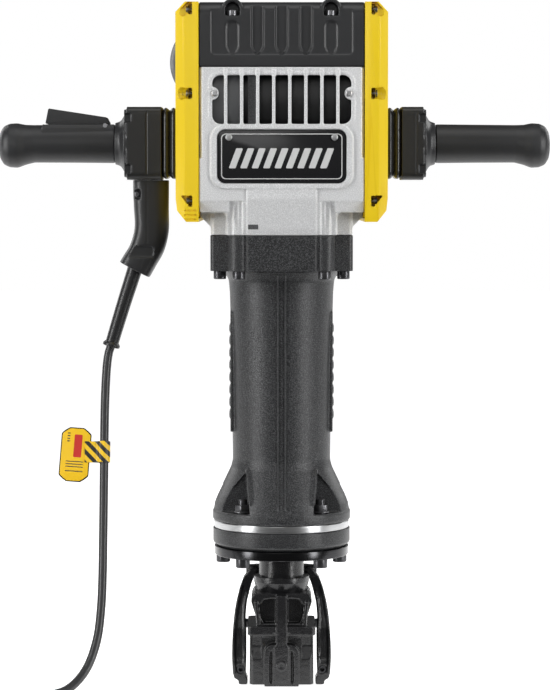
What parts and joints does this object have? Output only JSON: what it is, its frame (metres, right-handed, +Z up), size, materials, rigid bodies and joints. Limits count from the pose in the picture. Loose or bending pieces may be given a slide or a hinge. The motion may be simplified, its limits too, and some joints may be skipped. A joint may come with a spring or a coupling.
{
  "type": "demolition hammer",
  "caption": "Upright electric breaker with two side handles, a finned motor housing, a bolted barrel and a hex tool holder with a swing latch.",
  "frame": {"origin": "centre of the nose's bottom face, on the tool axis", "axes": "+Z up along the tool axis, +X along the handles to the right seen from the front, the front faces -Y"},
  "size_m": [0.7975, 0.2182, 0.7768],
  "materials": {
    "black_cast": "rough black-painted cast steel",
    "dark_steel": "black-oxide steel",
    "bush_steel": "ground tool steel",
    "bright_steel": "machined bright steel",
    "charcoal_cast": "charcoal powder coat with fine speckle",
    "silver_cast": "silver speckled paint on cast alloy",
    "black_plastic": "textured black plastic",
    "yellow_plastic": "bright yellow moulded plastic",
    "black_rubber": "black rubber",
    "gear_steel": "hardened ground steel",
    "gearcase_alloy": "raw cast alloy",
    "copper_brass": "brass and copper"
  },
  "bodies": {
    "machine": {"nose": "black_cast", "neck_ring": "black_cast", "hex_bush": "bush_steel", "latch_pivot": "dark_steel", "clamp_plate": "dark_steel", "lower_flange": "charcoal_cast", "damper_ring": "bright_steel", "flange_bolts": "dark_steel", "flange_nuts": "dark_steel", "barrel": "charcoal_cast", "gearbox_collar": "charcoal_cast", "collar_screws": "dark_steel", "motor_housing": "silver_cast", "top_cover": "black_plastic", "side_cover_left": "yellow_plastic", "side_cover_right": "yellow_plastic", "case_screws": "dark_steel", "nameplate": "black_plastic", "front_screws": "bright_steel", "air_shroud": "black_plastic", "side_cap": "black_plastic", "gear_carrier": "gearcase_alloy", "bearings": "gear_steel", "stator": "gear_steel", "brush_holders": "copper_brass", "cylinder": "gear_steel", "handle_mounts": "gear_steel", "bellows_left": "black_rubber", "bellows_right": "black_rubber", "power_cord": "black_rubber", "cord_coil": "black_rubber", "coil_tie": "black_rubber", "mains_plug": "black_plastic", "cord_tag": "yellow_plastic"},
    "latch": {"retainer_latch": "black_cast", "latch_cross_pins": "dark_steel"},
    "crank": {"crankshaft": "gear_steel", "crank_gear": "gear_steel"},
    "intermediate": {"intermediate_gear": "gear_steel"},
    "rotor": {"rotor": "gear_steel", "fan": "gearcase_alloy", "commutator": "copper_brass"},
    "rod": {"con_rod": "gear_steel"},
    "piston": {"piston": "gear_steel", "wrist_pin": "gear_steel"},
    "ram": {"ram": "gear_steel"},
    "beat_piece": {"beat_piece": "gear_steel"},
    "left_handle": {"handle_left": "black_plastic", "grip_left": "black_rubber", "guide_rods_left": "gear_steel", "float_springs_left": "gear_steel", "trigger_pin": "gear_steel", "switch_body": "black_plastic", "cable_guard": "black_plastic", "strain_relief": "black_rubber"},
    "trigger": {"trigger": "black_plastic"},
    "right_handle": {"handle_right": "black_plastic", "grip_right": "black_rubber", "guide_rods_right": "gear_steel", "float_springs_right": "gear_steel"}
  },
  "joints": [
    {"name": "latch_hinge", "type": "hinge", "parent": "machine", "child": "latch", "pos_m": [0, 0.026, 0.066], "axis": [-1, 0, 0], "range_deg": [0, 50]},
    {"name": "left_handle_float", "type": "slide", "parent": "machine", "child": "left_handle", "axis": [0, 0, 1], "range_m": [-0.005, 0.005], "stiffness_N_per_m": 15000, "deforming": ["bellows_left", "float_springs_left", "power_cord"]},
    {"name": "right_handle_float", "type": "slide", "parent": "machine", "child": "right_handle", "axis": [0, 0, 1], "range_m": [-0.005, 0.005], "stiffness_N_per_m": 15000, "deforming": ["bellows_right", "float_springs_right"]},
    {"name": "trigger_hinge", "type": "hinge", "parent": "left_handle", "child": "trigger", "pos_m": [-0.199, 0, 0.638], "axis": [0, -1, 0], "range_deg": [0, 6], "stiffness_Nm_per_rad": 1.5, "springref_deg": -8.59},
    {"name": "crank_spin", "type": "hinge", "parent": "machine", "child": "crank", "pos_m": [0, 0, 0.574], "axis": [1, 0, 0], "continuous": true},
    {"name": "intermediate_spin", "type": "hinge", "parent": "machine", "child": "intermediate", "pos_m": [0, 0, 0.634], "axis": [1, 0, 0], "continuous": true},
    {"name": "rotor_spin", "type": "hinge", "parent": "machine", "child": "rotor", "pos_m": [0, 0, 0.676], "axis": [1, 0, 0], "continuous": true},
    {"name": "rod_swing", "type": "hinge", "parent": "crank", "child": "rod", "pos_m": [0, 0, 0.56], "axis": [1, 0, 0], "continuous": true},
    {"name": "piston_slide", "type": "slide", "parent": "machine", "child": "piston", "axis": [0, 0, 1], "range_m": [0, 0.028]},
    {"name": "ram_slide", "type": "slide", "parent": "machine", "child": "ram", "axis": [0, 0, 1], "range_m": [0, 0.03]},
    {"name": "beat_piece_slide", "type": "slide", "parent": "machine", "child": "beat_piece", "axis": [0, 0, 1], "range_m": [0, 0.01]}
  ],
  "couplings": [
    {"joint": "intermediate_spin", "follows": "crank_spin", "ratio": -5},
    {"joint": "rotor_spin", "follows": "crank_spin", "ratio": 19},
    {"joint": "rod_swing", "follows": "crank_spin", "ratio": -1}
  ]
}
